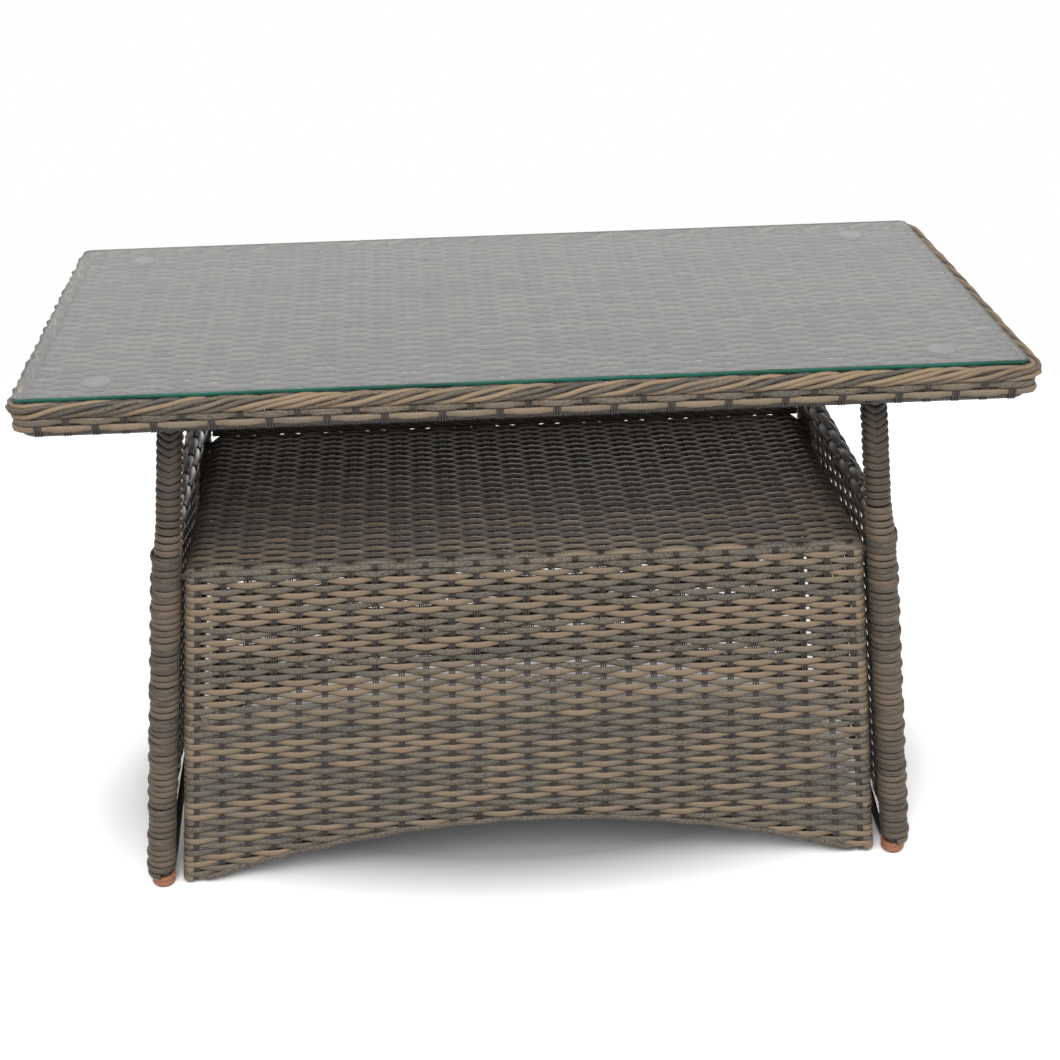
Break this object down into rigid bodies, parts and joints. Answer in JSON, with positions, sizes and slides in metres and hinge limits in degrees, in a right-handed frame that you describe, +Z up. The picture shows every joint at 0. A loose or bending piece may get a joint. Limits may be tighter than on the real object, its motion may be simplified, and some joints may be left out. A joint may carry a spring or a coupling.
{
  "type": "wicker coffee table",
  "caption": "Woven cane lounge table with splayed wound legs, a loose glass top on soft pads, an open shelf and an arched woven body.",
  "frame": {"origin": "on the ground, in the middle of the footprint", "axes": "+X along the table's length to the right, -Y towards the front, +Z up"},
  "size_m": [1.102, 0.552, 0.676],
  "materials": {
    "woven_cane": "half-round brown-grey canes in plain weave over dark triple stakes",
    "wound_cane": "half-round brown-grey cane wound turn by turn",
    "rope_cane": "plaited border of round tan and speckled grey canes",
    "coated_tube": "satin dark brown coating on aluminium tube and rod",
    "clear_glass": "clear float glass with polished green edge",
    "clear_pad": "translucent soft pad",
    "foot_plastic": "terracotta moulded plastic, ribbed"
  },
  "bodies": {
    "table": {"rim_rope_front": "rope_cane", "rim_rope_back": "rope_cane", "rim_rope_left": "rope_cane", "rim_rope_right": "rope_cane", "rim_apron_front": "woven_cane", "rim_apron_back": "woven_cane", "rim_apron_left": "woven_cane", "rim_apron_right": "woven_cane", "top_tube_front": "coated_tube", "top_tube_back": "coated_tube", "top_tube_left": "coated_tube", "top_tube_right": "coated_tube", "tabletop_weave": "woven_cane", "top_cross_bar_left": "coated_tube", "top_cross_bar_middle": "coated_tube", "top_cross_bar_right": "coated_tube", "leg_tube_front_left": "coated_tube", "leg_wrap_upper_front_left": "wound_cane", "leg_wrap_lower_front_left": "wound_cane", "foot_cap_front_left": "foot_plastic", "leg_tube_front_right": "coated_tube", "leg_wrap_upper_front_right": "wound_cane", "leg_wrap_lower_front_right": "wound_cane", "foot_cap_front_right": "foot_plastic", "leg_tube_back_left": "coated_tube", "leg_wrap_upper_back_left": "wound_cane", "leg_wrap_lower_back_left": "wound_cane", "foot_cap_back_left": "foot_plastic", "leg_tube_back_right": "coated_tube", "leg_wrap_upper_back_right": "wound_cane", "leg_wrap_lower_back_right": "wound_cane", "foot_cap_back_right": "foot_plastic", "side_rail_tube_left": "coated_tube", "side_rail_wrap_left": "wound_cane", "side_panel_weave_left": "woven_cane", "side_arch_rod_left": "coated_tube", "side_rail_tube_right": "coated_tube", "side_rail_wrap_right": "wound_cane", "side_panel_weave_right": "woven_cane", "side_arch_rod_right": "coated_tube", "shelf_weave": "woven_cane", "shelf_rod_front": "coated_tube", "shelf_rod_back": "coated_tube", "shelf_end_rod_left": "coated_tube", "shelf_slat_left": "coated_tube", "shelf_end_rod_right": "coated_tube", "shelf_slat_right": "coated_tube", "front_panel_weave": "woven_cane", "front_arch_rod": "coated_tube", "front_post_left": "coated_tube", "front_post_right": "coated_tube", "back_panel_weave": "woven_cane", "back_arch_rod": "coated_tube", "back_post_left": "coated_tube", "back_post_right": "coated_tube"},
    "glass": {"glass_top": "clear_glass", "glass_pad_front_left": "clear_pad", "glass_pad_front_right": "clear_pad", "glass_pad_back_left": "clear_pad", "glass_pad_back_right": "clear_pad"}
  },
  "joints": [
    {"name": "glass_lift", "type": "slide", "parent": "table", "child": "glass", "axis": [0, 0, 1], "range_m": [0, 0.12]}
  ]
}
